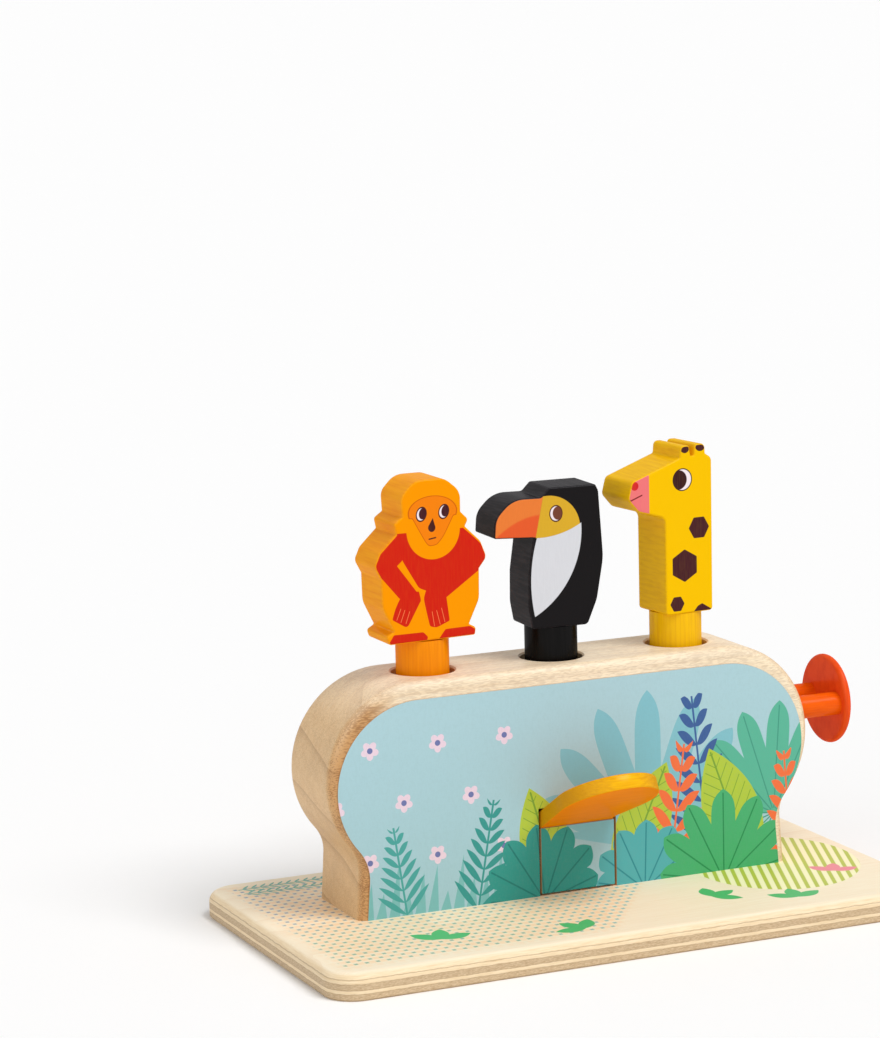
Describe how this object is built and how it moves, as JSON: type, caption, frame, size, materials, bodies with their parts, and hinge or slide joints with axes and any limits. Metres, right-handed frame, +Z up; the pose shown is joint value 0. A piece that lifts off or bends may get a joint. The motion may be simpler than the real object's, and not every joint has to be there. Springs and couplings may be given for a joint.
{
  "type": "pop up animal toy",
  "caption": "Wooden toddler toy: animal pegs on dowels stand in a hippo-shaped block on a board and pop up by spring, lever or push button.",
  "frame": {"origin": "bottom centre of the board, on its underside", "axes": "+X along the block towards the push button, +Y from the paddle side to the plain back, +Z up"},
  "size_m": [0.248, 0.137, 0.1741],
  "materials": {
    "plywood": "printed on top, clear satin lacquer, bare plies at the edge",
    "light_wood": "clear satin lacquer",
    "print": "printed, matt lacquer",
    "inner_wood": "bare, planed",
    "orange_yellow_paint": "satin paint",
    "red_orange_paint": "satin paint",
    "yellow_paint": "satin paint",
    "black_paint": "satin paint",
    "steel": "zinc plated"
  },
  "bodies": {
    "toy": {"base_board": "plywood", "base_screws": "steel", "hippo_block": "light_wood", "front_print_facing": "print", "lever_pin": "steel", "arm_rest": "inner_wood", "monkey_spring": "steel", "button_spring": "steel"},
    "lever": {"lever_flap": "light_wood", "flap_print_facing": "print", "lever_paddle": "orange_yellow_paint", "lever_arm": "inner_wood"},
    "toucan_lift": {"toucan_follower": "inner_wood"},
    "toucan_peg": {"toucan_dowel": "black_paint", "toucan_figure": "black_paint"},
    "monkey_lift": {"monkey_plunger": "inner_wood"},
    "monkey_peg": {"monkey_dowel": "orange_yellow_paint", "monkey_figure": "orange_yellow_paint"},
    "button": {"button_disc": "red_orange_paint", "button_rod_front": "red_orange_paint", "button_rod_rear": "red_orange_paint", "button_web": "inner_wood", "button_wedge": "inner_wood"},
    "giraffe_lift": {"giraffe_follower": "inner_wood"},
    "giraffe_peg": {"giraffe_dowel": "yellow_paint", "giraffe_figure": "yellow_paint"}
  },
  "joints": [
    {"name": "lever_swing", "type": "hinge", "parent": "toy", "child": "lever", "pos_m": [0, -0.0035, 0.03], "axis": [1, 0, 0], "range_deg": [0, 26]},
    {"name": "toucan_rise", "type": "slide", "parent": "toy", "child": "toucan_lift", "axis": [0, 0, 1], "range_m": [0, 0.0088]},
    {"name": "toucan_lift_off", "type": "slide", "parent": "toucan_lift", "child": "toucan_peg", "axis": [0, 0, 1], "range_m": [0, 0.085]},
    {"name": "monkey_push", "type": "slide", "parent": "toy", "child": "monkey_lift", "axis": [0, 0, 1], "range_m": [-0.01, 0], "stiffness_N_per_m": 1160, "springref_m": 0.001, "deforming": ["monkey_spring"]},
    {"name": "monkey_lift_off", "type": "slide", "parent": "monkey_lift", "child": "monkey_peg", "axis": [0, 0, 1], "range_m": [0, 0.085]},
    {"name": "button_push", "type": "slide", "parent": "toy", "child": "button", "axis": [-1, 0, 0], "range_m": [0, 0.01], "stiffness_N_per_m": 680, "springref_m": -0.0015, "deforming": ["button_spring"]},
    {"name": "giraffe_rise", "type": "slide", "parent": "toy", "child": "giraffe_lift", "axis": [0, 0, 1], "range_m": [0, 0.0063]},
    {"name": "giraffe_lift_off", "type": "slide", "parent": "giraffe_lift", "child": "giraffe_peg", "axis": [0, 0, 1], "range_m": [0, 0.085]}
  ],
  "couplings": [
    {"joint": "toucan_rise", "follows": "lever_swing", "m_per_rad": 0.01928},
    {"joint": "giraffe_rise", "follows": "button_push", "ratio": 0.62487}
  ]
}
